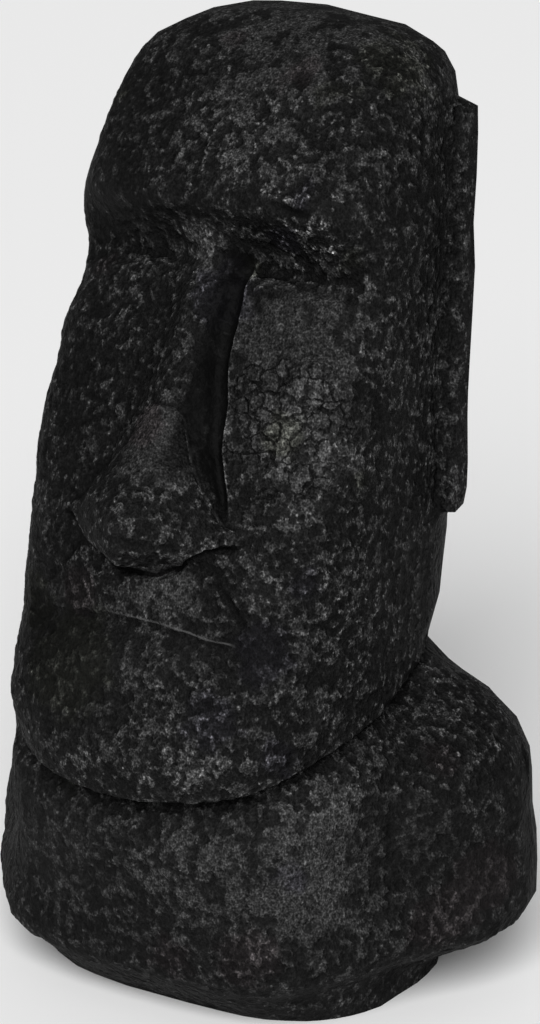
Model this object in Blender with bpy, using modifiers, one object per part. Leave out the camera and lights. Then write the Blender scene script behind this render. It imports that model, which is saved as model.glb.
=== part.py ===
"""Moai head: a cast stone garden statue of the long-faced Easter Island type.

One solid casting, standing on the flat underside of its body.  Metres, +Z up.
The face looks along -Y, so "forward" below is the distance along -Y from the
origin, which is the centre of the underside.  The statue's own left is +X.
Three kinds of closed solid are joined by Boolean unions: the head is a loft of
rings, the body is a loft of outlines in which the chest and the upper arms melt
together, and each ear is a long slab with softened edges.
"""

import math

import bmesh
import bpy

COLLECTION = "moai_head_statue"
HELPERS = "casting_helpers"

# ---- driving sizes -------------------------------------------------------
HEIGHT = 0.600

# Each table below is a profile: pairs of where and how much, read by a smooth
# curve through them.  The head's rings are named by their height at the front
# midline.
CHIN_HEIGHT = 0.160
CROWN_RIM_HEIGHT = 0.545
CROWN_CENTRE_FORWARD = -0.056
CROWN_SQUARENESS = 2.35

HALF_WIDTH = ((0.160, 0.120), (0.200, 0.121), (0.258, 0.120), (0.310, 0.118), (0.400, 0.114),
              (0.455, 0.111), (0.495, 0.112), (0.550, 0.103), (0.600, 0.096))
CENTRE_FORWARD = ((0.160, 0.025), (0.258, 0.018), (0.400, 0.000), (0.470, -0.012),
                  (0.550, -0.042), (0.600, -0.054))
BACK_FORWARD = ((0.160, -0.082), (0.200, -0.095), (0.250, -0.103), (0.300, -0.106),
                (0.450, -0.112), (0.550, -0.116), (0.600, -0.114))
FACE_FORWARD = ((0.160, 0.157), (0.180, 0.161), (0.205, 0.156), (0.235, 0.140), (0.258, 0.128),
                (0.300, 0.112), (0.360, 0.088), (0.410, 0.066), (0.455, 0.050), (0.480, 0.050),
                (0.497, 0.054), (0.520, 0.040), (0.550, 0.016), (0.600, -0.014))
FRONT_SQUARENESS = ((0.160, 2.25), (0.210, 2.4), (0.258, 2.8), (0.310, 3.3), (0.410, 3.4),
                    (0.480, 3.0), (0.550, 2.7))
BACK_SQUARENESS = 2.9

# The jaw's lower edge lies in a plane that rises towards the nape, and the
# brow's ends droop.
JAW_RISE = 0.30
JAW_RISE_ENDS = 0.300
BROW_DROOP = 0.010
BROW_DROOP_SPAN = (0.400, 0.455, 0.500, 0.545)

# Underside of the jaw, from the hollow outwards: size against the jaw's edge
# and lift above it.  The hollow closes inside the body.
JAW_UNDERSIDE = ((0.700, 0.0120), (0.860, 0.0080), (0.945, 0.0030), (0.975, -0.0025))
JAW_HOLLOW_FORWARD = 0.020
JAW_HOLLOW_DEPTH = 0.055

# Nose: forward reach of its midline, half width of its front plane, half width
# at the foot of its walls, and how far the front plane's edges fall back.
NOSE_FORWARD = ((0.300, 0.142), (0.310, 0.148), (0.324, 0.147), (0.342, 0.130), (0.366, 0.106),
                (0.387, 0.092), (0.413, 0.077), (0.444, 0.056), (0.464, 0.040))
NOSE_TOP = 0.486
NOSE_FOOT = 0.293
RIDGE_HALF = ((0.293, 0.048), (0.300, 0.052), (0.310, 0.053), (0.322, 0.047), (0.338, 0.033),
              (0.355, 0.020), (0.372, 0.012), (0.390, 0.009), (0.440, 0.010), (0.464, 0.014),
              (0.486, 0.024))
WALL_FOOT_HALF = ((0.293, 0.058), (0.302, 0.060), (0.311, 0.058), (0.322, 0.051), (0.345, 0.039),
                  (0.385, 0.026), (0.405, 0.022), (0.440, 0.019), (0.460, 0.023), (0.486, 0.036))
RIDGE_FALL = ((0.293, 0.030), (0.300, 0.042), (0.310, 0.045), (0.322, 0.041), (0.338, 0.026),
              (0.355, 0.013), (0.372, 0.006), (0.390, 0.003), (0.486, 0.003))
RIDGE_FALL_POWER = 1.6

# The nostril wings lift the nose's lower edge.
NOSTRIL_RISE = 0.007
NOSTRIL_SIDEWAYS = 0.050
NOSTRIL_SPAN = 0.050
NOSTRIL_SPAN_UP = 0.036

# Eye hollows under the brow: depth across the face and down it.
HOLLOW_DEPTH = ((0.000, 0.015), (0.022, 0.017), (0.055, 0.017), (0.080, 0.014), (0.096, 0.009),
                (0.105, 0.004), (0.110, 0.000))
HOLLOW_SHAPE = ((0.416, 0.0), (0.440, 0.20), (0.450, 0.38), (0.4555, 0.98), (0.464, 1.0),
                (0.476, 0.72), (0.488, 0.28), (0.498, 0.0))

# Mouth: swellings and dimples as (sideways, ring, half width, half height, relief).
MOUTH_RELIEF = ((0.000, 0.275, 0.066, 0.019, 0.0045), (0.000, 0.238, 0.066, 0.021, 0.0040),
                (0.000, 0.212, 0.050, 0.014, -0.0030))
MOUTH_CORNER = (0.066, 0.247)
MOUTH_CORNER_SPAN = 0.018
MOUTH_CORNER_DEPTH = 0.006

# Body: half width and reach of the chest at each level, and the upper arms, an
# oval on each side whose size changes with the level.
CHEST_HALF_WIDTH = ((0.000, 0.1235), (0.020, 0.1235), (0.050, 0.1440), (0.100, 0.1300),
                    (0.160, 0.1296), (0.185, 0.1110), (0.205, 0.0850))
CHEST_FORWARD = ((0.000, 0.0980), (0.020, 0.1185), (0.050, 0.1370), (0.100, 0.1400),
                 (0.155, 0.1437), (0.190, 0.1220), (0.205, 0.0900))
CHEST_BACK = ((0.000, 0.0820), (0.020, 0.1000), (0.050, 0.1060), (0.170, 0.1057), (0.205, 0.0800))
CHEST_SQUARENESS = ((0.000, 3.00), (0.050, 2.95), (0.150, 2.79))
ARM_SIDEWAYS = 0.1112
ARM_FORWARD = ((0.000, -0.0163), (0.050, -0.0183), (0.100, -0.0239), (0.170, -0.0226))
ARM_HALF = (0.0745, 0.0725)
ARM_SIZE = ((0.000, 0.05), (0.010, 0.15), (0.020, 0.39), (0.030, 0.62), (0.040, 0.86),
            (0.055, 1.00), (0.080, 0.985), (0.105, 0.945), (0.130, 0.925), (0.152, 0.823),
            (0.170, 0.588), (0.184, 0.250), (0.205, 0.050))
ARM_SQUARENESS = 2.0
BODY_MELT = 7.2

# Forward of the shoulders' crest the body's levels sink towards the chest.
SHOULDER_CREST = 0.0418
SHOULDER_LIFT = 1.0787
SHOULDER_SLOPE = 8.889

# Ears: corners of the slab's foot and of its top as (sideways, forward), in the
# order inner front, inner rear, outer front, outer rear.
EAR_FOOT_HEIGHT = 0.296
EAR_TOP_HEIGHT = 0.546
EAR_FOOT = ((0.095, -0.027), (0.097, -0.076), (0.128, -0.028), (0.129, -0.043))
EAR_TOP = ((0.080, -0.058), (0.083, -0.092), (0.117, -0.060), (0.118, -0.074))
EAR_EDGE = 0.004

# ---- mesh density --------------------------------------------------------
FACE_BANDS = ((0.160, 0.250, 15), (0.250, 0.293, 8), (0.293, 0.300, 1), (0.300, 0.340, 9),
              (0.340, 0.440, 16), (0.440, 0.450, 2), (0.450, 0.4555, 1), (0.4555, 0.500, 10),
              (0.500, 0.545, 6))
NOSE_WALL_COLUMNS = (0.35, 0.70, 1.00)
NOSE_CREASE = 0.004
CROWN_RINGS = 8
SIDE_COLUMNS = 9
BACK_COLUMNS = 7
BODY_COLUMNS = 26
BODY_LEVELS = (0.0, 0.003, 0.008, 0.014, 0.020, 0.028, 0.036, 0.045, 0.056, 0.070, 0.088, 0.106,
               0.124, 0.138, 0.152, 0.164, 0.174, 0.182, 0.189, 0.196, 0.205)
BODY_SEARCH = (0.02, 0.30)
BODY_SEARCH_STEPS = 24
BODY_TOP_RISE = 0.010
SAME_POINT = 0.00005
CREASE_ANGLE = math.radians(40)


def smooth_curve(points, at):
    """Height of the smooth monotone curve through the points, ends held level."""
    if at <= points[0][0]:
        return points[0][1]
    if at >= points[-1][0]:
        return points[-1][1]
    slopes = [(b[1] - a[1]) / (b[0] - a[0]) for a, b in zip(points, points[1:])]
    low = max(i for i in range(len(slopes)) if points[i][0] <= at)

    def tangent(i):
        if i == 0:
            return slopes[0]
        if i == len(slopes):
            return slopes[-1]
        before, after = slopes[i - 1], slopes[i]
        if before * after <= 0.0:
            return 0.0
        return 2.0 * before * after / (before + after)

    (x0, y0), (x1, y1) = points[low], points[low + 1]
    width = x1 - x0
    t = (at - x0) / width
    return ((1 + 2 * t) * (1 - t) ** 2 * y0 + t * (1 - t) ** 2 * width * tangent(low)
            + t * t * (3 - 2 * t) * y1 + t * t * (t - 1) * width * tangent(low + 1))


def bell(distance, reach):
    """1 at the middle, easing to 0 at the reach."""
    t = min(1.0, abs(distance) / reach)
    return (1.0 - t * t) ** 2


# ---- the head ------------------------------------------------------------
def nose_columns(ring):
    """Sideways places of the columns over the nose's front plane and its wall."""
    ridge = smooth_curve(RIDGE_HALF, ring)
    wall = smooth_curve(WALL_FOOT_HALF, ring) - ridge
    columns = [0.0, 0.5 * ridge, ridge] + [ridge + part * wall for part in NOSE_WALL_COLUMNS]
    return columns + [columns[-1] + NOSE_CREASE]


def cheek_forward(x, ring):
    """Forward reach of the plain face at a sideways place, with the eye hollow."""
    half = smooth_curve(HALF_WIDTH, ring)
    centre = smooth_curve(CENTRE_FORWARD, ring)
    reach = smooth_curve(FACE_FORWARD, ring) - centre
    power = smooth_curve(FRONT_SQUARENESS, ring)
    oval = max(0.0, 1.0 - min(1.0, x / half) ** power) ** (1.0 / power)
    hollow = smooth_curve(HOLLOW_DEPTH, x) * smooth_curve(HOLLOW_SHAPE, ring)
    return centre + reach * oval - hollow


def mouth_relief(x, ring):
    """Lips, the hollow above the chin and the dimples at the mouth's corners."""
    relief = sum(depth * bell(x - sideways, across) * bell(ring - height, up)
                 for sideways, height, across, up, depth in MOUTH_RELIEF)
    sideways, height = MOUTH_CORNER
    return relief - MOUTH_CORNER_DEPTH * bell(math.hypot(x - sideways, ring - height),
                                              MOUTH_CORNER_SPAN)


def face_forward(x, ring):
    """Forward reach of the face with the nose and the mouth."""
    cheek = cheek_forward(x, ring) + mouth_relief(x, ring)
    ridge = smooth_curve(RIDGE_HALF, ring)
    foot = smooth_curve(WALL_FOOT_HALF, ring)
    if x >= foot or not NOSE_FOOT < ring < NOSE_TOP:
        return cheek
    profile = NOSE_FORWARD + ((NOSE_TOP, cheek_forward(0.0, NOSE_TOP)),)
    fall = smooth_curve(RIDGE_FALL, ring) * min(1.0, x / ridge) ** RIDGE_FALL_POWER
    wall = 1.0 - max(0.0, (x - ridge) / (foot - ridge))
    return cheek + max(0.0, smooth_curve(profile, ring) - fall - cheek) * wall


def ring_height(ring, x, forward):
    """Height of a point of a ring: low rings tilt with the jaw, brow rings droop."""
    ease = min(1.0, max(0.0, (JAW_RISE_ENDS - ring) / (JAW_RISE_ENDS - CHIN_HEIGHT)))
    rise = JAW_RISE * ease * (smooth_curve(FACE_FORWARD, ring) - forward)
    start, full_start, full_end, end = BROW_DROOP_SPAN
    droop = min(1.0, max(0.0, (ring - start) / (full_start - start)),
                max(0.0, (end - ring) / (end - full_end)))
    nostril = (NOSTRIL_RISE * bell(ring - NOSE_FOOT, NOSTRIL_SPAN_UP)
               * bell(x - NOSTRIL_SIDEWAYS, NOSTRIL_SPAN))
    return ring + rise + nostril - BROW_DROOP * droop * (x / smooth_curve(HALF_WIDTH, ring)) ** 2


def crown_shrink(ring):
    """1 up to the crown's rim, closing as a dome above it."""
    rise = max(0.0, (ring - CROWN_RIM_HEIGHT) / (HEIGHT - CROWN_RIM_HEIGHT))
    return (1.0 - rise ** CROWN_SQUARENESS) ** (1.0 / CROWN_SQUARENESS)


def head_ring(ring):
    """Points of one ring on the +X side, from the front midline to the back."""
    half = smooth_curve(HALF_WIDTH, ring)
    centre = smooth_curve(CENTRE_FORWARD, ring)
    back = centre - smooth_curve(BACK_FORWARD, ring)
    power = smooth_curve(FRONT_SQUARENESS, ring)
    points = [(x, face_forward(x, ring)) for x in nose_columns(ring)]
    start = math.asin((points[-1][0] / half) ** (power / 2))
    for step in range(1, SIDE_COLUMNS + 1):
        angle = start + (math.pi / 2 - start) * step / SIDE_COLUMNS
        x = half * math.sin(angle) ** (2 / power)
        points.append((x, face_forward(x, ring)))
    for step in range(1, BACK_COLUMNS + 1):
        angle = math.pi / 2 * step / BACK_COLUMNS
        x = half * max(0.0, math.cos(angle)) ** (2 / BACK_SQUARENESS)
        points.append((x, centre - back * math.sin(angle) ** (2 / BACK_SQUARENESS)))
    shrink = crown_shrink(ring)
    return [(x * shrink,
             -(CROWN_CENTRE_FORWARD + (forward - CROWN_CENTRE_FORWARD) * shrink),
             ring_height(ring, x, forward)) for x, forward in points]


def head_rows():
    """All rings from the jaw's edge to the crown."""
    rows = []
    for low, high, count in FACE_BANDS:
        rows += [head_ring(low + (high - low) * i / count) for i in range(count)]
    for step in range(CROWN_RINGS):
        rise = math.sin(math.pi / 2 * step / CROWN_RINGS) ** (2 / CROWN_SQUARENESS)
        rows.append(head_ring(CROWN_RIM_HEIGHT + (HEIGHT - CROWN_RIM_HEIGHT) * rise))
    return rows


def underside_rows(edge):
    """The jaw's rounded lower edge and the hollow under it, from inside outwards."""
    return [[(x * size, (y + JAW_HOLLOW_FORWARD) * size - JAW_HOLLOW_FORWARD, z + lift)
             for x, y, z in edge] for size, lift in JAW_UNDERSIDE]


def half_loft(name, rows, top, bottom):
    """A half shell open at X = 0, closed above and below, mirrored into a solid."""
    mesh = bpy.data.meshes.new(name)
    bm = bmesh.new()
    grid = [[bm.verts.new(point) for point in row] for row in rows]
    for lower, upper in zip(grid, grid[1:]):
        for i in range(len(lower) - 1):
            bm.faces.new((lower[i], lower[i + 1], upper[i + 1], upper[i]))
    peak = bm.verts.new(top)
    pit = bm.verts.new(bottom)
    for i in range(len(grid[0]) - 1):
        bm.faces.new((grid[-1][i], grid[-1][i + 1], peak))
        bm.faces.new((grid[0][i + 1], grid[0][i], pit))
    bm.to_mesh(mesh)
    bm.free()
    thing = bpy.data.objects.new(name, mesh)
    mirror = thing.modifiers.new("other side", "MIRROR")
    mirror.use_axis = (True, False, False)
    mirror.merge_threshold = SAME_POINT
    return thing


def head():
    rows = head_rows()
    lower = underside_rows(rows[0])
    chin = rows[0][0]
    pit = (0.0, JAW_HOLLOW_FORWARD, chin[2] + JAW_HOLLOW_DEPTH)
    return half_loft("moai_head", lower + rows, (0.0, -CROWN_CENTRE_FORWARD, HEIGHT), pit)


# ---- the body ------------------------------------------------------------
def oval_field(x, forward, centre, half_width, reach, power):
    """Below 1 inside an oval, 1 on its line and above 1 outside."""
    return (abs(x / half_width) ** power + abs((forward - centre) / reach) ** power) ** (1 / power)


def body_field(x, forward, level):
    """Chest and both upper arms melted into one outline at a level."""
    reach = smooth_curve(CHEST_FORWARD if forward > 0 else CHEST_BACK, level)
    chest = oval_field(x, forward, 0.0, smooth_curve(CHEST_HALF_WIDTH, level), reach,
                       smooth_curve(CHEST_SQUARENESS, level))
    size = smooth_curve(ARM_SIZE, level)
    arm = oval_field(abs(x) - ARM_SIDEWAYS, forward, smooth_curve(ARM_FORWARD, level),
                     size * ARM_HALF[0], size * ARM_HALF[1], ARM_SQUARENESS)
    return (chest ** -BODY_MELT + arm ** -BODY_MELT) ** (-1 / BODY_MELT)


def body_reach(angle, level):
    """Distance from the middle to the outline in one direction."""
    inner, outer = BODY_SEARCH
    for _ in range(BODY_SEARCH_STEPS):
        middle = (inner + outer) / 2
        if body_field(middle * math.sin(angle), middle * math.cos(angle), level) < 1.0:
            inner = middle
        else:
            outer = middle
    return inner


def body_ring(level):
    """One level of the body on the +X side, front midline to back midline."""
    points = []
    for step in range(BODY_COLUMNS + 1):
        angle = math.pi * step / BODY_COLUMNS
        reach = body_reach(angle, level)
        x = reach * math.sin(angle) if step < BODY_COLUMNS else 0.0
        forward = reach * math.cos(angle)
        ahead = max(0.0, forward + SHOULDER_CREST)
        points.append((x, -forward, level * (SHOULDER_LIFT - SHOULDER_SLOPE * ahead ** 2)))
    return points


def body():
    rows = [body_ring(level) for level in BODY_LEVELS]
    side = rows[-1][BODY_COLUMNS // 2]
    return half_loft("body_block", rows, (0.0, 0.0, side[2] + BODY_TOP_RISE), (0.0, 0.0, 0.0))


# ---- the ears ------------------------------------------------------------
def ear(name, side):
    """A long slab, proud at the front and sloping back into the side of the head."""
    mesh = bpy.data.meshes.new(name)
    bm = bmesh.new()
    bmesh.ops.create_cube(bm, size=1.0)
    for corner in bm.verts:
        place = (2 if corner.co.x > 0 else 0) + (1 if corner.co.y > 0 else 0)
        x, forward = EAR_TOP[place] if corner.co.z > 0 else EAR_FOOT[place]
        height = EAR_TOP_HEIGHT if corner.co.z > 0 else EAR_FOOT_HEIGHT
        corner.co = (side * x, -forward, height)
    bmesh.ops.recalc_face_normals(bm, faces=bm.faces)
    bm.to_mesh(mesh)
    bm.free()
    slab = bpy.data.objects.new(name, mesh)
    bevel = slab.modifiers.new("soft edges", "BEVEL")
    bevel.width = EAR_EDGE
    bevel.segments = 3
    return slab


# ---- the casting ---------------------------------------------------------
def stone_material():
    material = bpy.data.materials.new("black_cast_stone")
    material.use_nodes = True
    shader = material.node_tree.nodes["Principled BSDF"]
    shader.inputs["Base Color"].default_value = (0.022, 0.022, 0.022, 1.0)
    shader.inputs["Roughness"].default_value = 0.55
    shader.inputs["Metallic"].default_value = 0.0
    return material


def new_collection(name):
    collection = bpy.data.collections.new(name)
    bpy.context.scene.collection.children.link(collection)
    return collection


def main():
    for old in list(bpy.data.objects):
        bpy.data.objects.remove(old)
    parts = new_collection(COLLECTION)
    helpers = new_collection(HELPERS)
    statue = head()
    statue.data.materials.append(stone_material())
    parts.objects.link(statue)
    torso = body()
    torso.data.shade_smooth()
    for helper in (torso, ear("left_ear_slab", 1), ear("right_ear_slab", -1)):
        helpers.objects.link(helper)
        helper.hide_render = True
        helper.display_type = "WIRE"
        union = statue.modifiers.new("join " + helper.name, "BOOLEAN")
        union.operation = "UNION"
        union.solver = "EXACT"
        union.object = helper
    statue.data.shade_smooth()
    statue.data.set_sharp_from_angle(angle=CREASE_ANGLE)


main()
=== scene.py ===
"""The moai statue finished as it stands: black cast stone, hammered and dry-brushed with grey.

The casting's plain solid comes from the frame.  It is remeshed finely, its chisel lines,
plates and pits are worked into the surface, and it is painted by a procedural material.
Metres, +Z up; the face looks along -Y and the statue's own left is +X.
"""

import math

import bpy
import numpy as np
from mathutils import Matrix, Vector, noise


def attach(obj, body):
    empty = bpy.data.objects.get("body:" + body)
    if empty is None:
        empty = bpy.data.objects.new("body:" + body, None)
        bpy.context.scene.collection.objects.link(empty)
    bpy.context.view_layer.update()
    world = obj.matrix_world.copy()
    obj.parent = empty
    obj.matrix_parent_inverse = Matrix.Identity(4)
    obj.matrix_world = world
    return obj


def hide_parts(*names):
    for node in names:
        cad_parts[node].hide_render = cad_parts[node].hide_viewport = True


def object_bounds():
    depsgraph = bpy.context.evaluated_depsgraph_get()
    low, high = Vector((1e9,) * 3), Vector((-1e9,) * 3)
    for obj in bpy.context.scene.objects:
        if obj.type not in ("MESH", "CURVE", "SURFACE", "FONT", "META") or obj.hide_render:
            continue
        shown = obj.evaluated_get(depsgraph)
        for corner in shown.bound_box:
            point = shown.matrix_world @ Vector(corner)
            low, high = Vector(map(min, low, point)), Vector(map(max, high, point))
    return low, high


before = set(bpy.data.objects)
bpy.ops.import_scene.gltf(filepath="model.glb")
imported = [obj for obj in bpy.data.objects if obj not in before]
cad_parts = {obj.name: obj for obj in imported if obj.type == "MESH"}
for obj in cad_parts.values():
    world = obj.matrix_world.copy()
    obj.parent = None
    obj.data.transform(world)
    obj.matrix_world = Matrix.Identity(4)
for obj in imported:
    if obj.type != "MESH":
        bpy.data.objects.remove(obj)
cad_low, cad_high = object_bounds()

# ---- the view ------------------------------------------------------------
VIEW_AZIMUTH = 32.0
VIEW_ELEVATION = 19.45
VIEW_DISTANCE = 2.4
VIEW_TARGET = Vector((0.0045, 0.0180, 0.2846))
LENS = 136.2

# ---- the light -----------------------------------------------------------
SUN_POWER = 3.7
SKY_POWER = 0.25

# ---- the casting's mesh --------------------------------------------------
MM = 1000.0                     # the paint reads its distances in millimetres
MERGE = 0.00001                 # the solid's loose corners closer than this are one
GRID = 0.0016
SMOOTHING = 9
FINISHED_TRIANGLES = 190000

# ---- the chisel's lines --------------------------------------------------
EDGE = 0.0014                   # how wide a cut edge is
NOSE_FACET = 0.008              # width of the bevelled facet along the nose's side

# these run down the face: heights, then how far out from the middle the line is at each
NOSE_SIDE = ((0.311, 0.317, 0.320, 0.333, 0.340, 0.349, 0.358, 0.378, 0.3825, 0.385),
             (0.059, 0.059, 0.050, 0.0405, 0.034, 0.028, 0.022, 0.013, 0.008, 0.0))
WALL_FOOT = ((0.311, 0.322, 0.335, 0.345, 0.360, 0.385, 0.405, 0.420, 0.440, 0.455),
             (0.058, 0.051, 0.047, 0.043, 0.037, 0.034, 0.0285, 0.0275, 0.0270, 0.0258))
FOLD = ((0.240, 0.262, 0.270, 0.278, 0.288, 0.300), (0.088, 0.072, 0.067, 0.061, 0.052, 0.046))

# these run across it: distances out from the middle, then the line's height at each
NOSE_FOOT = ((0.0, 0.011, 0.027, 0.035, 0.0425, 0.060), (0.2875, 0.288, 0.297, 0.303, 0.3075, 0.311))
CHEEK_TOP = ((0.0, 0.088, 0.097, 0.12), (0.4530, 0.4530, 0.4470, 0.4470))

# the lips meet on a parabola that falls from the middle
MOUTH_HEIGHT = 0.2612
MOUTH_BOW = 1.9
MOUTH_REACH = 0.064

# Each row of the tables below is a soft round patch: its middle, how far it reaches and its amount.

# ---- where the rubbing down swells the shape or dents it, in metres ----------
SWELLS = (
    ((0.085, 0.060, 0.572), 0.055, 0.0040),     # left of the crown
    ((-0.103, -0.018, 0.476), 0.022, 0.0025),   # down the right side of the face
    ((-0.106, -0.024, 0.432), 0.035, -0.0031),
    ((-0.106, -0.063, 0.350), 0.045, 0.0022),
    ((-0.109, -0.082, 0.285), 0.045, -0.0018),
    ((-0.100, -0.103, 0.238), 0.030, -0.0018),
    ((-0.087, -0.128, 0.194), 0.022, 0.0030),   # right corner of the chin
    ((0.114, 0.029, 0.219), 0.024, -0.0035),    # behind the jaw
    ((-0.142, -0.066, 0.057), 0.030, 0.0030),   # right shoulder
    ((-0.090, -0.120, 0.035), 0.020, 0.0020),
)
CROWN_TOP = cad_high[2]
CROWN_DEPTH, CROWN_RUBBED = 0.040, 0.0042       # how far down it is rubbed, and by how much
EAR_END, EAR_RAISED = 0.298, 0.0060             # the ears' lower ends
CHIN_EDGE, CHIN_LOWERED = 0.168, 0.0032         # the chin's lower edge

# ---- the stone's relief: sizes of its lumps and how high they stand ----------
BROAD_LUMPS, BROAD_HEIGHT = 0.055, 0.0012
LOW_LUMPS, LOW_HEIGHT = 0.022, 0.0007
HAMMERED, HAMMERED_HEIGHT = 0.0062, 0.0008
PLATE, PLATE_BEND = 0.0108, 0.0042
PLATE_HEIGHT, GAP_DEPTH = 0.0007, 0.0010
RELIEF_SUNK = 0.0004            # keeps the raised work inside the solid's size
STANDING = 0.0012               # what is lower than this stands flat on the ground
PLATED_CHEEK, PLATED_REACH = (0.070, -0.078, 0.375), 0.070

# ---- the paint: its lumps from broad to fine, and its two shades -------------
PATCH, BLOB, STAIN, KNOB = 0.034, 0.0150, 0.012, 0.0078
CHIP, SPECK, DOT, GRIT = 0.0040, 0.0021, 0.0016, 0.0011
PAINTED_PLATE = 0.0110
BLACK, GREY = 0.0018, 0.0066    # how much light bare stone and grey at 0 stops give back

# ---- the brushing, with some painted light: where it is heavier or lighter, in stops of brightness ---
BRUSHED = (
    # crown: heavier, evener grey here is partly brushing and partly a painted sheen on the top
    ((0.000, -0.005, 0.600), 0.110, 0.40),      # crown
    ((0.068, 0.020, 0.578), 0.018, 1.40),
    ((0.018, -0.030, 0.535), 0.060, 1.20),      # forehead
    ((0.051, -0.036, 0.522), 0.018, 1.40),
    ((0.000, -0.050, 0.507), 0.018, -1.70),
    ((-0.070, -0.020, 0.535), 0.060, -0.50),
    ((-0.006, -0.043, 0.468), 0.026, 2.90),     # bridge of the nose
    ((0.043, -0.047, 0.508), 0.009, 1.80),      # the left brow, and under it
    ((0.056, -0.045, 0.506), 0.009, 1.80),
    ((0.066, -0.043, 0.505), 0.008, 1.20),
    ((0.081, -0.034, 0.479), 0.018, 3.20),
    ((0.062, -0.042, 0.486), 0.022, 1.20),
    ((0.038, -0.036, 0.472), 0.011, -2.40),
    ((0.024, -0.036, 0.454), 0.010, 4.00),      # top of the left cheek
    ((0.052, -0.032, 0.454), 0.012, 1.60),
    ((0.075, -0.029, 0.456), 0.010, 1.60),
    ((0.099, -0.023, 0.453), 0.010, 2.60),
    ((0.078, -0.060, 0.410), 0.062, 0.50),      # left cheek
    ((0.082, -0.075, 0.372), 0.055, 2.70),
    ((0.109, -0.044, 0.385), 0.032, -1.80),
    ((0.088, -0.088, 0.329), 0.026, 1.90),
    ((-0.070, -0.075, 0.370), 0.080, -1.00),    # right cheek
    ((-0.055, -0.112, 0.292), 0.028, -1.50),
    ((0.118, -0.005, 0.390), 0.090, 1.20),      # side of the face
    ((0.005, -0.125, 0.330), 0.050, 0.40),      # nose
    ((-0.039, -0.090, 0.354), 0.018, 1.60),
    ((0.026, -0.086, 0.372), 0.020, 1.60),
    ((0.050, -0.106, 0.317), 0.013, -1.20),
    ((0.019, -0.122, 0.282), 0.034, 1.70),      # upper lip
    ((0.078, -0.108, 0.286), 0.020, 2.40),
    ((0.017, -0.141, 0.239), 0.035, 0.90),      # lower lip
    ((0.054, -0.150, 0.196), 0.060, 0.65),      # chin
    ((-0.015, -0.153, 0.173), 0.026, 1.50),
    ((0.030, -0.154, 0.170), 0.024, 1.00),
    ((0.056, -0.148, 0.173), 0.024, 1.50),
    ((0.085, -0.130, 0.188), 0.014, 1.40),
    ((-0.065, -0.126, 0.239), 0.050, -1.50),
    ((0.112, -0.060, 0.270), 0.050, 0.50),      # jaw
    ((0.108, -0.096, 0.214), 0.018, 2.00),
    # behind the jaw: heavier grey here is painted light, lifting the shade in the notch
    ((0.118, 0.022, 0.208), 0.022, 2.20),
    ((0.109, -0.102, 0.122), 0.060, 1.40),      # chest
    ((0.112, -0.093, 0.088), 0.055, 0.70),
    ((0.092, -0.108, 0.150), 0.035, 0.90),
    ((0.122, -0.083, 0.155), 0.035, 1.70),
    ((0.086, -0.124, 0.070), 0.024, 2.00),
    ((0.040, -0.139, 0.110), 0.070, 1.30),
    ((-0.048, -0.139, 0.103), 0.060, 0.90),
    ((0.116, -0.070, 0.020), 0.032, 1.80),      # foot
    ((0.124, -0.010, 0.011), 0.025, 1.80),
    ((0.179, -0.008, 0.075), 0.045, 0.90),      # lump
    ((0.183, -0.002, 0.052), 0.024, -3.00),
)
BODY_CALM = 0.35                # all over the body

# ---- where the brushing is calm, or below 0 livelier -------------------------
CALM = (
    ((-0.070, -0.020, 0.530), 0.060, 0.30),     # forehead
    ((-0.060, -0.040, 0.480), 0.030, 0.40),
    ((0.059, -0.037, 0.477), 0.050, -1.00),     # under the left brow
    ((0.038, -0.131, 0.249), 0.030, 0.60),      # lower lip
    ((-0.025, -0.142, 0.228), 0.055, 0.80),
    ((-0.060, -0.115, 0.250), 0.040, 0.60),
    ((0.078, -0.116, 0.250), 0.028, 0.60),      # corner of the mouth
    ((0.120, -0.060, 0.255), 0.070, -0.30),     # jaw
    ((-0.048, -0.139, 0.103), 0.070, 0.30),     # chest
    ((0.145, -0.042, 0.119), 0.040, 0.30),      # shoulder
    ((0.179, -0.008, 0.084), 0.045, 0.50),
)

# ---- where the stone is evenly grey rather than flecked ----------------------
EVEN = (
    # crown: the evener grey is partly a painted sheen on the top
    ((0.014, 0.037, 0.596), 0.110, 0.60),       # crown
    ((-0.006, -0.043, 0.468), 0.026, 0.50),     # bridge of the nose
    ((0.062, -0.052, 0.425), 0.062, 0.80),      # left cheek
    ((0.072, -0.076, 0.375), 0.064, 0.80),
    ((0.019, -0.122, 0.282), 0.034, 0.75),      # upper lip
    ((0.109, -0.102, 0.110), 0.075, 0.75),      # chest
    ((0.040, -0.139, 0.100), 0.050, 0.35),
)

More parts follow.
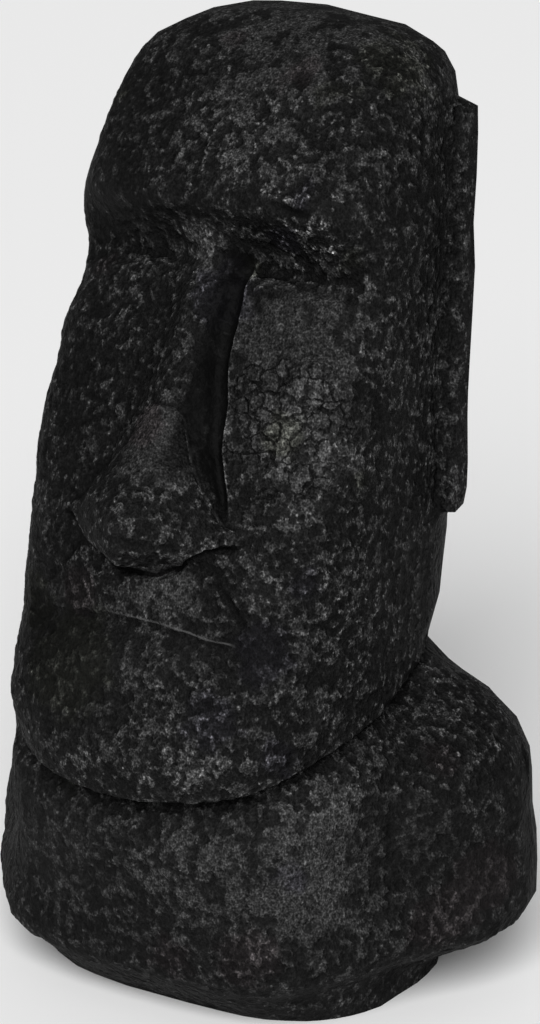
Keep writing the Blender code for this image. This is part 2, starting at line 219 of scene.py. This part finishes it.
# ---- faint tints of the grey: how surely each shows, and its colour ----------
OLIVE = (
    ((-0.042, -0.141, 0.228), 0.058, 1.20),     # right of the chin
    ((-0.088, -0.110, 0.255), 0.030, 1.00),
    ((-0.050, -0.135, 0.155), 0.030, 0.80),
    ((0.084, 0.034, 0.576), 0.045, 0.90),       # left of the crown
    ((0.060, 0.000, 0.560), 0.020, 0.70),
    ((-0.100, 0.000, 0.540), 0.030, 0.80),
    ((0.024, -0.036, 0.455), 0.013, 1.20),      # round the left eye
    ((0.088, -0.022, 0.472), 0.018, 0.90),
    ((0.072, -0.077, 0.372), 0.024, 1.00),      # left cheek
    ((0.110, -0.050, 0.345), 0.014, 0.80),
    ((0.020, -0.120, 0.308), 0.014, 0.80),      # under the nose
)
ROSE = (
    ((-0.008, -0.098, 0.371), 0.022, 1.60),     # nose
    ((-0.042, -0.122, 0.270), 0.022, 1.20),
    ((0.035, 0.000, 0.572), 0.022, 1.00),       # crown
    ((-0.020, 0.010, 0.588), 0.020, 0.90),
    ((-0.078, -0.030, 0.440), 0.020, 1.00),     # right cheek
    ((0.177, -0.008, 0.090), 0.036, 1.20),      # lump
    ((0.163, -0.040, 0.068), 0.036, 1.00),
    ((0.150, -0.021, 0.165), 0.022, 0.90),
    ((0.081, -0.128, 0.058), 0.034, 1.00),      # foot
    ((0.030, -0.140, 0.050), 0.026, 0.90),
)
VIOLET = (
    ((0.014, -0.046, 0.440), 0.034, 1.20),      # beside the nose
    ((0.050, -0.040, 0.478), 0.018, 1.20),      # under the left brow
    ((0.062, -0.036, 0.505), 0.018, 0.80),
    ((0.083, -0.115, 0.250), 0.030, 1.20),      # corner of the mouth
    ((0.062, -0.137, 0.210), 0.030, 1.00),      # chin
    ((0.092, -0.115, 0.187), 0.022, 1.00),
    ((0.100, -0.094, 0.290), 0.018, 0.90),
    ((0.100, -0.110, 0.110), 0.018, 0.80),      # chest
)
TINTS = (
    ("olive", OLIVE, (0.98, 1.00, 0.89, 1.0)),
    ("rose", ROSE, (1.09, 0.99, 1.01, 1.0)),
    ("violet", VIOLET, (1.01, 0.99, 1.11, 1.0)),
)


# ---- small helpers -------------------------------------------------------
def bell(distance, reach):
    """1 at the middle, easing to 0 at the reach."""
    t = np.minimum(1.0, np.abs(distance) / reach)
    return (1.0 - t * t) ** 2


def ease(value, low, high):
    """0 below low and 1 above high, with a soft step between."""
    t = np.clip((value - low) / (high - low), 0.0, 1.0)
    return t * t * (3.0 - 2.0 * t)


def vertex_places(thing):
    places = np.empty(len(thing.data.vertices) * 3)
    thing.data.vertices.foreach_get("co", places)
    return places.reshape(-1, 3)


def vertex_normals(thing):
    normals = np.empty(len(thing.data.vertices) * 3)
    thing.data.vertices.foreach_get("normal", normals)
    return normals.reshape(-1, 3)


def move_vertices(thing, places):
    thing.data.vertices.foreach_set("co", places.ravel())
    thing.data.update()


def keep_attribute(thing, name, values):
    """Stores one number for each vertex, for the paint to read."""
    layer = thing.data.attributes.new(name, "FLOAT", "POINT")
    layer.data.foreach_set("value", values)


def finish_with(thing, kind, **settings):
    """Adds one modifier and applies it."""
    bpy.ops.object.select_all(action="DESELECT")
    thing.select_set(True)
    bpy.context.view_layer.objects.active = thing
    modifier = thing.modifiers.new(kind.lower(), kind)
    for name, value in settings.items():
        setattr(modifier, name, value)
    bpy.ops.object.modifier_apply(modifier=modifier.name)


def noise_over(places, size, octaves=1):
    """Smooth noise, about -1 to 1, with lumps of a size."""
    return np.array([noise.fractal(Vector(p), 1.0, 2.0, octaves) for p in places / size])


def neighbours_mean(thing, places, rounds):
    """The places after so many rounds of averaging with their neighbours."""
    mesh = thing.data
    edges = np.empty(len(mesh.edges) * 2, dtype=np.int32)
    mesh.edges.foreach_get("vertices", edges)
    a, b = edges.reshape(-1, 2).T
    count = len(places)
    degree = np.bincount(a, minlength=count) + np.bincount(b, minlength=count)
    for _ in range(rounds):
        total = np.stack([np.bincount(a, places[b, k], count) + np.bincount(b, places[a, k], count)
                          for k in range(places.shape[1])], axis=1)
        places = 0.5 * places + 0.5 * total / degree[:, None]
    return places


# ---- the casting ---------------------------------------------------------
def casting():
    """A merged copy of the plain solid on an even, fine grid."""
    bpy.ops.object.select_all(action="DESELECT")
    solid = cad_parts["moai_head"]
    statue = bpy.data.objects.new("moai_statue", solid.data.copy())
    bpy.context.scene.collection.objects.link(statue)
    statue.data.materials.clear()
    statue.select_set(True)
    bpy.context.view_layer.objects.active = statue
    bpy.ops.object.mode_set(mode="EDIT")
    bpy.ops.mesh.select_all(action="SELECT")
    bpy.ops.mesh.remove_doubles(threshold=MERGE)
    bpy.ops.object.mode_set(mode="OBJECT")
    finish_with(statue, "REMESH", mode="VOXEL", voxel_size=GRID)
    finish_with(statue, "SMOOTH", factor=0.5, iterations=SMOOTHING)
    return statue


def eye_hollow(p):
    """1 in the hollows under the brow."""
    x, y, z = np.abs(p[:, 0]), p[:, 1], p[:, 2]
    return bell(z - 0.492, 0.030) * ease(0.128 - x, 0.0, 0.02) * ease(-y, -0.01, 0.01)


def rub_down(statue):
    """Eases the crown, the ears and the sides, and softens the hollows beside the nose and brow."""
    p = vertex_places(statue)
    p[:, 2] -= CROWN_RUBBED * ease(p[:, 2], CROWN_TOP - CROWN_DEPTH, CROWN_TOP)
    ear = ease(np.abs(p[:, 0]), 0.114, 0.120) * ease(p[:, 1], 0.0, 0.01)
    p[:, 2] += EAR_RAISED * bell(p[:, 2] - EAR_END, 0.040) * ear
    p[:, 2] -= CHIN_LOWERED * bell(p[:, 2] - CHIN_EDGE, 0.020) * ease(-p[:, 1], 0.10, 0.13)
    p += vertex_normals(statue) * spread(SWELLS, p)[:, None]
    z = p[:, 2]
    valley = bell(p[:, 0] + 0.024, 0.018) * ease(z, 0.34, 0.37) * ease(0.47 - z, 0.0, 0.02)
    valley *= ease(-p[:, 1], 0.02, 0.03)
    rubbed = np.maximum(0.7 * eye_hollow(p) * ease(np.abs(p[:, 0]), 0.030, 0.045), 0.9 * valley)
    p += (neighbours_mean(statue, p, 120) - p) * rubbed[:, None]
    move_vertices(statue, p)


def side_of_nose(p):
    """How far inside the nose's outline each place lies."""
    return np.interp(p[:, 2], *NOSE_SIDE) - np.abs(p[:, 0])


def foot_of_nose(p):
    """How far above the nose's foot each place lies."""
    return p[:, 2] - np.interp(np.abs(p[:, 0]), *NOSE_FOOT)


def chiselled(p):
    """How far the carving raises each place of the surface, or lowers it."""
    x, y, z = np.abs(p[:, 0]), p[:, 1], p[:, 2]
    front = ease(-y, 0.0, 0.02)

    # the nose stands up from the face on bevelled facets
    side = side_of_nose(p)
    foot = foot_of_nose(p)
    facets = 0.0012 * ease(side, 0.0, EDGE) + 0.0022 * np.clip(side / NOSE_FACET, 0.0, 1.0)
    lift = facets * ease(foot, 0.0, EDGE) * ease(-y, 0.05, 0.06)
    lift -= 0.0014 * bell(foot + 0.0018, 0.0032) * ease(side, -0.004, 0.004) * ease(-y, 0.08, 0.09)

    # beside it the wall is cut back from the cheek, whose rim stays sharp
    rim = np.interp(z, *WALL_FOOT)
    along = ease(z, 0.318, 0.335) * ease(0.462 - z, 0.0, 0.012) * front * np.where(p[:, 0] > 0.0, 1.0, 0.1)
    lift -= 0.0022 * ease(rim - x, 0.0, EDGE) * ease(x, rim - 0.014, rim - 0.002) * along
    lift += 0.0009 * bell(x - rim - 0.0014, 0.0026) * along

    # the cheek's top is a ledge
    ledge = z - np.interp(x, *CHEEK_TOP)
    across = ease(x, 0.024, 0.030) * ease(0.104 - x, 0.0, 0.012) * front
    lift += (0.0010 * bell(ledge + 0.0012, 0.0030) - 0.0008 * bell(ledge - 0.0035, 0.0040)) * across

    # the upper lip stands over the lower along a thin line
    lip = z - MOUTH_HEIGHT + MOUTH_BOW * x ** 2
    across = ease(MOUTH_REACH + 0.004 - x, 0.0, 0.012) * ease(-y, 0.09, 0.10)
    lift += 0.0009 * ease(lip, -0.0006, 0.0006) * bell(lip, 0.009) * across
    lift -= 0.0008 * bell(lip + 0.0022, 0.0030) * across

    # a fold runs from the nose's wing past the corner of the mouth
    fold = x - np.interp(z, *FOLD)
    across = ease(z, 0.260, 0.266) * ease(0.300 - z, 0.0, 0.008) * front
    lift += (0.0007 * bell(fold - 0.0050, 0.004) - 0.0012 * bell(fold, 0.004)) * across

    # the left brow is cracked across under a worn ledge
    crack = z - 0.5075 + 0.20 * (p[:, 0] - 0.040)
    lift -= 0.0022 * bell(crack + 0.0042, 0.0044) * bell(p[:, 0] - 0.058, 0.018) * front
    lift += 0.0012 * bell(crack, 0.0030) * bell(p[:, 0] - 0.052, 0.022) * front
    return lift


def bare_and_shaded_places(p):
    """1 in recesses and walls, where the pale brushing has hardly reached; there the paint also darkens the
    black itself as painted shade.
    """
    x, y, z = np.abs(p[:, 0]), p[:, 1], p[:, 2]
    rim = np.interp(z, *WALL_FOOT)
    wall = ease(x, 0.008, 0.014) * ease(rim - x, -0.0004, 0.0008)
    wall *= ease(z, 0.340, 0.36) * ease(0.475 - z, 0.0, 0.012)
    wing = np.interp(z, (0.31, 0.335, 0.36), (0.056, 0.040, 0.020))
    low = ease(x - wing, 0.0, 0.004) * ease(rim - x, -0.0004, 0.001)
    low *= ease(z, 0.30, 0.31) * ease(0.37 - z, 0.0, 0.02)
    walls = np.maximum(wall, low) * ease(-y, 0.01, 0.03) * (p[:, 0] > 0.0)
    eye = bell(z - 0.480 + 0.9 * np.maximum(0.0, x - 0.03) ** 1.6, 0.036)
    eye *= ease(x, 0.020, 0.03) * ease(0.115 - x, 0.0, 0.015) * ease(-y, -0.01, 0.01)
    corner = bell(np.hypot(x - 0.080, z - 0.248), 0.026) * ease(-y, 0.08, 0.10)
    fold = bell(x - np.interp(z, *FOLD), 0.0075) * ease(z, 0.238, 0.250) * ease(0.302 - z, 0.0, 0.008)
    fold *= ease(-y, 0.08, 0.10) * (p[:, 0] > 0.0)
    crack = bell(np.hypot((p[:, 0] - 0.061) / 1.6, z - 0.4992), 0.0085) * ease(-y, 0.0, 0.02)
    return np.max((walls, 0.22 * eye, 0.30 * corner, 0.35 * fold, 0.95 * crack), axis=0)


def spread(table, p):
    """The sum of a table's soft round patches at each place."""
    return sum(amount * bell(np.linalg.norm(p - np.array(centre), axis=1), reach)
               for centre, reach, amount in table)


def brushing(p, bare_and_shaded):
    """How heavily each place is brushed, in stops."""
    ear = ease(np.abs(p[:, 0]), 0.114, 0.120) * ease(p[:, 2], 0.29, 0.31)
    return spread(BRUSHED, p) - 2.6 * bare_and_shaded - 0.35 * ear


def plates_over(p):
    """For each place, a random height about 0 for the plate it is on, and 1 in the gaps between plates."""
    near, second, random = np.empty(len(p)), np.empty(len(p)), np.empty(len(p))
    bend = np.stack([noise_over(p + shift, 0.009) for shift in (11.0, 17.0, 23.0)], axis=1)
    for i, place in enumerate((p + PLATE_BEND * bend) / PLATE):
        distances, cells = noise.voronoi(Vector(place))
        near[i] = distances[0]
        second[i] = distances[1]
        random[i] = noise.cell(cells[0] * 7.31)
    gaps = (1.0 - ease(second - near, 0.02, 0.15)) * ease(noise_over(p + 31.0, 0.013), -0.35, 0.15)
    return random - 0.5, gaps


def weathered(statue):
    """Works the carving, the plates and the hammered grain into the casting."""
    p = vertex_places(statue)
    normals = vertex_normals(statue)
    lift = chiselled(p)
    bare_and_shaded = bare_and_shaded_places(p)
    heights, gaps = plates_over(p)
    cheek = bell(np.linalg.norm(p - np.array(PLATED_CHEEK), axis=1), PLATED_REACH)
    plated = (0.12 + 0.88 * cheek) * (1.0 - 0.8 * bare_and_shaded)
    grain = noise_over(p + 7.0, HAMMERED, 2)
    relief = BROAD_HEIGHT * noise_over(p, BROAD_LUMPS) + LOW_HEIGHT * noise_over(p + 3.0, LOW_LUMPS)
    relief += (PLATE_HEIGHT * heights - GAP_DEPTH * gaps) * plated
    relief += HAMMERED_HEIGHT * grain * (1.0 - 0.6 * bare_and_shaded) * (1.0 - 0.5 * ease(p[:, 2], 0.575, 0.592))
    relief *= 1.0 - 0.8 * eye_hollow(p)
    placed = p + normals * (lift + relief - RELIEF_SUNK)[:, None]
    placed[:, 2] = np.where(p[:, 2] < STANDING, 0.0, np.maximum(placed[:, 2], 0.0))
    move_vertices(statue, placed)

    raised = (lift + relief)[:, None]
    keep_attribute(statue, "proud_near", (raised - neighbours_mean(statue, raised, 6))[:, 0] * MM)
    keep_attribute(statue, "gap", gaps * plated)
    keep_attribute(statue, "plated", cheek * (1.0 - bare_and_shaded))
    keep_attribute(statue, "grain", grain)
    keep_places(statue, p, bare_and_shaded)


def keep_places(statue, p, bare_and_shaded):
    """Keeps what the paint follows from place to place, reckoned before the relief was worked."""
    keep_attribute(statue, "bare_and_shaded", bare_and_shaded)
    keep_attribute(statue, "brushed", brushing(p, bare_and_shaded))
    facet = ease(side_of_nose(p), 0.0, 0.0012) * ease(p[:, 2], 0.335, 0.358) * ease(-p[:, 1], 0.07, 0.08)
    keep_attribute(statue, "even", spread(EVEN, p) * (1.0 - bare_and_shaded) + 0.8 * facet)
    body = 1.0 - ease(p[:, 2], 0.140, 0.165)
    keep_attribute(statue, "calm", np.clip(spread(CALM, p) + BODY_CALM * body, -1.0, 1.0))
    keep_attribute(statue, "hollow", eye_hollow(p))
    for name, table, _ in TINTS:
        keep_attribute(statue, name, spread(table, p))
    keep_attribute(statue, "from_side", side_of_nose(p) * MM)
    keep_attribute(statue, "from_rim", (p[:, 0] - np.interp(p[:, 2], *WALL_FOOT)) * MM)
    keep_attribute(statue, "from_foot", foot_of_nose(p) * MM)


def mark_edges(statue):
    """Keeps how far each place stands proud of the shape round it, where edges are worn pale."""
    near = neighbours_mean(statue, vertex_places(statue), 6)
    wide = neighbours_mean(statue, near, 70)
    proud = np.einsum("ij,ij->i", near - wide, vertex_normals(statue)) * MM
    keep_attribute(statue, "proud_wide", np.clip(proud, -1.5, 1.5))


def thin_out(statue):
    """Leaves the mesh finest on the face and front, and plainer round the back and underneath."""
    p = vertex_places(statue)
    plain = np.maximum(ease(p[:, 1], 0.01, 0.05), 1.0 - ease(p[:, 2], 0.001, 0.004))
    group = statue.vertex_groups.new(name="plain")
    for low, weight in ((0.0, 0.25), (0.5, 1.0)):
        those = np.flatnonzero((plain >= low) & (plain <= low + 0.5))
        group.add(those.tolist(), weight, "REPLACE")
    finish_with(statue, "DECIMATE", vertex_group="plain", ratio=FINISHED_TRIANGLES / (2.0 * len(p)),
                use_collapse_triangulate=True)
    statue.vertex_groups.clear()
    p = vertex_places(statue)
    p[:, 2] = np.maximum(p[:, 2], 0.0)
    move_vertices(statue, p)


def drop_folded_faces(statue):
    """Deletes any pair of faces that the thinning has laid flat against each other."""
    mesh = statue.data
    corners = np.empty(len(mesh.loops), dtype=np.int32)
    mesh.loops.foreach_get("vertex_index", corners)
    corners = np.sort(corners.reshape(-1, 3), axis=1)
    _, face_kind, count = np.unique(corners, axis=0, return_inverse=True, return_counts=True)
    bpy.ops.object.mode_set(mode="EDIT")
    bpy.ops.mesh.select_mode(type="FACE")
    bpy.ops.mesh.select_all(action="DESELECT")
    bpy.ops.object.mode_set(mode="OBJECT")
    mesh.polygons.foreach_set("select", count[face_kind.ravel()] > 1)
    bpy.ops.object.mode_set(mode="EDIT")
    bpy.ops.mesh.delete(type="FACE")
    bpy.ops.object.mode_set(mode="OBJECT")


# ---- the paint -----------------------------------------------------------
class Value:
    """A number or colour on its way through a material's nodes."""

    def __init__(self, tree, socket):
        self.tree = tree
        self.socket = socket

    def node(self, kind, settings, sockets, output=0):
        """Any node: its settings are set first, then its sockets are filled or linked."""
        made = self.tree.nodes.new(kind)
        for name, value in settings.items():
            setattr(made, name, value)
        for name, value in sockets.items():
            if isinstance(value, Value):
                self.tree.links.new(value.socket, made.inputs[name])
            else:
                made.inputs[name].default_value = value
        return Value(self.tree, made.outputs[output])

    def maths(self, operation, a, b):
        return self.node("ShaderNodeMath", {"operation": operation}, {0: a, 1: b})

    def __add__(self, other):
        return self.maths("ADD", self, other)

    def __sub__(self, other):
        return self.maths("SUBTRACT", self, other)

    def __rsub__(self, other):
        return self.maths("SUBTRACT", other, self)

    def __mul__(self, other):
        return self.maths("MULTIPLY", self, other)

    def __rpow__(self, other):
        return self.maths("POWER", other, self)

    def __abs__(self):
        return self.maths("ABSOLUTE", self, 0.0)

    __radd__ = __add__
    __rmul__ = __mul__

    def step(self, low, high):
        """A soft step from 0 at low to 1 at high."""
        return self.node("ShaderNodeMapRange", {"interpolation_type": "SMOOTHSTEP"},
                         {"Value": self, "From Min": low, "From Max": high})

    def lumps(self, size, detail=0.0):
        """Noise about 0 with lumps of a size in metres, over these coordinates."""
        made = self.node("ShaderNodeTexNoise", {}, {"Vector": self, "Scale": 1.0 / size, "Detail": detail})
        return made - 0.5

    def torn(self, size, width):
        """These coordinates, shifted to and fro by a width so that what is drawn on them tears."""
        shift = self.node("ShaderNodeTexNoise", {}, {"Vector": self, "Scale": 1.0 / size}, "Color")
        shift = self.node("ShaderNodeVectorMath", {"operation": "SUBTRACT"}, {0: shift, 1: (0.5, 0.5, 0.5)})
        shift = self.node("ShaderNodeVectorMath", {"operation": "SCALE"}, {0: shift, "Scale": width})
        return self.node("ShaderNodeVectorMath", {"operation": "ADD"}, {0: self, 1: shift})

    def cells(self, size):
        """A number about 0, constant over each small angular cell of a size."""
        made = self.node("ShaderNodeTexVoronoi", {}, {"Vector": self, "Scale": 1.0 / size}, "Color")
        return made.along("X") - 0.5

    def edges(self, size):
        """How far it is to the edge of the cell, in parts of the cells' size."""
        return self.node("ShaderNodeTexVoronoi", {"feature": "DISTANCE_TO_EDGE"},
                         {"Vector": self, "Scale": 1.0 / size}, "Distance")

    def along(self, axis):
        """One coordinate: X, Y or Z."""
        return self.node("ShaderNodeSeparateXYZ", {}, {"Vector": self}, axis)

    def attribute(self, name):
        return self.node("ShaderNodeAttribute", {"attribute_name": name}, {}, "Fac")

    def mixed(self, factor, a, b):
        """Colour a, turning to colour b by a factor."""
        return self.node("ShaderNodeMix", {"data_type": "RGBA"}, {0: factor, 6: a, 7: b}, 2)


def worn_lines_and_nose_shadow(place, stops):
    """The stops, with thin pale lines between the lips, along the nose and on the cheek's rim.

    A painted shadow runs as a dark line along the foot of the nose.
    """
    out = place.along("X")
    back = place.along("Y")
    up = place.along("Z")
    lip = up + out * out * MOUTH_BOW - (MOUTH_HEIGHT + 0.0003)
    line = (1.0 - abs(lip).step(0.0004, 0.0011)) * (1.0 - back.step(-0.11, -0.10))
    line = line * out.step(-0.026, 0.010) * (1.0 - out.step(MOUTH_REACH - 0.002, MOUTH_REACH + 0.003))
    side = place.attribute("from_side")
    ridge = (1.0 - abs(side - 0.2).step(0.3, 1.1)) * up.step(0.315, 0.320) * (1.0 - up.step(0.380, 0.388))
    rim = 1.0 - abs(place.attribute("from_rim") - 0.4).step(0.3, 1.1)
    rim = rim * up.step(0.322, 0.330) * (1.0 - up.step(0.450, 0.458))
    # painted shadow: a dark line just below the foot of the nose
    nose_shadow = (1.0 - abs(place.attribute("from_foot") + 0.7).step(0.5, 1.4)) * side.step(-4.0, -2.0)
    face = 1.0 - back.step(-0.05, -0.03)
    return stops + (3.3 - stops) * line * 0.85 + (ridge * 2.2 + rim * 1.5 - nose_shadow * 3.0) * face


def tinted_grey(place):
    """White, turning faintly olive, rose or violet in stained patches."""
    stain = place.lumps(STAIN, 1.0)
    grey = (1.0, 1.0, 1.0, 1.0)
    for name, _, tint in TINTS:
        grey = place.mixed((place.attribute(name) + stain * 1.2).step(0.25, 0.75), grey, tint)
    return grey


def brushed_stone():
    """Black stone with grey brushed over it. Brightness is reckoned in stops: each doubles the grey."""
    material = bpy.data.materials.new("brushed_black_stone")
    material.use_nodes = True
    tree = material.node_tree
    shader = tree.nodes["Principled BSDF"]
    place = Value(tree, tree.nodes.new("ShaderNodeTexCoord").outputs["Object"])
    proud_near = place.attribute("proud_near")
    grain = place.attribute("grain")
    brushed = place.attribute("brushed")
    bare_and_shaded = place.attribute("bare_and_shaded")
    gap = place.attribute("gap")
    plated = place.attribute("plated")
    calm = place.attribute("calm")

    # the same lumps and chips, a little taller than wide, tip the surface and catch the brush
    tall = place.node("ShaderNodeVectorMath", {"operation": "MULTIPLY"}, {0: place, 1: (1.0, 1.0, 0.85)})
    patch = place.lumps(PATCH, 1.0)
    blob = tall.lumps(BLOB)
    knob = tall.lumps(KNOB)
    chip = tall.lumps(CHIP)
    speck = tall.lumps(SPECK)
    grit = tall.lumps(GRIT)
    dot = tall.torn(0.0030, 0.0030).cells(DOT)
    pale_dots = dot.step(0.18, 0.36)
    dark_dots = (dot * -1.0).step(0.22, 0.40)

    # flecks: a soft grey film on what is raised, with pale cores and fine dots in it
    raised = knob + chip * 0.8 + blob * 0.35 + patch * 0.3 + grain * 0.16
    raised = raised + proud_near * 0.5 + brushed * 0.08
    film = raised.step(-0.14, 0.18)
    core = (raised + dot * 0.16).step(0.10, 0.24)
    fine = (speck * 3.6 + grit * 5.0 + pale_dots * 1.2 - dark_dots * 0.8) * (film * 0.45 + 0.50)
    lively = film * 0.7 + core * 0.9 + patch * 0.7 + blob * 0.6 + chip * 1.2 + fine
    lively = (lively + proud_near * 1.2 + grain * 0.25) * (1.0 - calm * 0.6 - bare_and_shaded * 0.3)
    flecks = brushed * 0.45 - 0.65 + lively + calm * 0.50

    # plates: an even grey, each a little different, and on the cheek parted by dark cracks
    broken = place.torn(0.0055, 0.0075)
    crack = 1.0 - broken.edges(PAINTED_PLATE).step(0.02, abs(knob) * 0.3 + 0.07)
    crack = crack * plated.step(0.05, 0.5)
    plates = brushed * 0.45 + 1.30 + broken.cells(PAINTED_PLATE) * plated * 1.2
    plates = plates + speck * 2.8 + grit * 4.4 + chip * 1.2 + patch * 0.5
    plates = plates - crack * 2.3 - dark_dots - gap * 1.6 + grain * 0.15
    whole = (place.attribute("even") + blob * 1.2 + knob).step(0.20, 0.55)
    stops = flecks + (plates - flecks) * whole + place.attribute("proud_wide") * 0.35
    stops = worn_lines_and_nose_shadow(place, stops)

    # painted shade: the black itself is darkened in the recesses and walls that the grey missed
    shade = (BLACK + 2.0 ** stops * GREY) * (1.0 - bare_and_shaded * 0.4)
    colour = place.mixed(shade, (0.0, 0.0, 0.0, 1.0), tinted_grey(place))
    tree.links.new(colour.socket, shader.inputs["Base Color"])

    rough = 0.46 + stops.step(-1.0, 2.0) * 0.24
    tree.links.new(rough.socket, shader.inputs["Roughness"])
    shader.inputs["Specular IOR Level"].default_value = 0.015

    height = film * 0.0004 + knob * 0.0020 + chip * 0.0015 + speck * 0.0010 + grit * 0.0006
    height = height - crack * whole * 0.0006
    height = height * (1.0 - bare_and_shaded * 0.8 - calm * 0.2) * (1.0 - place.attribute("hollow") * 0.7)
    bump = place.node("ShaderNodeBump", {}, {"Strength": 1.0, "Distance": 1.0, "Height": height})
    tree.links.new(bump.socket, shader.inputs["Normal"])
    return material


# ---- the room ------------------------------------------------------------
def plain_material(name, colour, roughness):
    material = bpy.data.materials.new(name)
    material.use_nodes = True
    shader = material.node_tree.nodes["Principled BSDF"]
    shader.inputs["Base Color"].default_value = (*colour, 1.0)
    shader.inputs["Roughness"].default_value = roughness
    return material


def towards(azimuth, elevation):
    """Unit direction from the statue to a place seen at that azimuth and elevation."""
    a, e = math.radians(azimuth), math.radians(elevation)
    return Vector((math.sin(a) * math.cos(e), -math.cos(a) * math.cos(e), math.sin(e)))


def soft_sun(name, azimuth, elevation, width, power):
    """A sun that looks so many degrees wide, so that its shadows are soft."""
    way = towards(azimuth, elevation)
    bpy.ops.object.light_add(type="SUN", location=VIEW_TARGET + way * 3.0)
    lamp = bpy.context.object
    lamp.name = name
    lamp.rotation_euler = way.to_track_quat("Z", "Y").to_euler()
    lamp.data.angle = math.radians(width)
    lamp.data.energy = power


def room():
    """A pale floor under a soft, white sky and one broad light."""
    bpy.ops.mesh.primitive_plane_add(size=14.0)
    floor = bpy.context.object
    floor.name = "floor"
    floor.data.materials.append(plain_material("pale_floor", (0.90, 0.90, 0.90), 0.6))
    world = bpy.data.worlds.new("studio")
    world.use_nodes = True
    world.node_tree.nodes["Background"].inputs["Color"].default_value = (1.0, 1.0, 1.0, 1.0)
    world.node_tree.nodes["Background"].inputs["Strength"].default_value = SKY_POWER
    bpy.context.scene.world = world
    soft_sun("key", azimuth=26.0, elevation=38.0, width=35.0, power=SUN_POWER)
    bpy.context.scene.view_settings.view_transform = "Standard"


def camera():
    back = towards(VIEW_AZIMUTH, VIEW_ELEVATION)
    right = Vector((math.cos(math.radians(VIEW_AZIMUTH)), math.sin(math.radians(VIEW_AZIMUTH)), 0.0))
    turn = Matrix((right, back.cross(right), back)).transposed()
    bpy.ops.object.camera_add(location=VIEW_TARGET + back * VIEW_DISTANCE, rotation=turn.to_euler())
    bpy.context.scene.camera = bpy.context.object
    bpy.context.object.data.lens = LENS


statue = casting()
rub_down(statue)
weathered(statue)
mark_edges(statue)
thin_out(statue)
drop_folded_faces(statue)
statue.data.materials.append(brushed_stone())
statue.data.shade_smooth()
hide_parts("moai_head")
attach(statue, "root")
room()
camera()
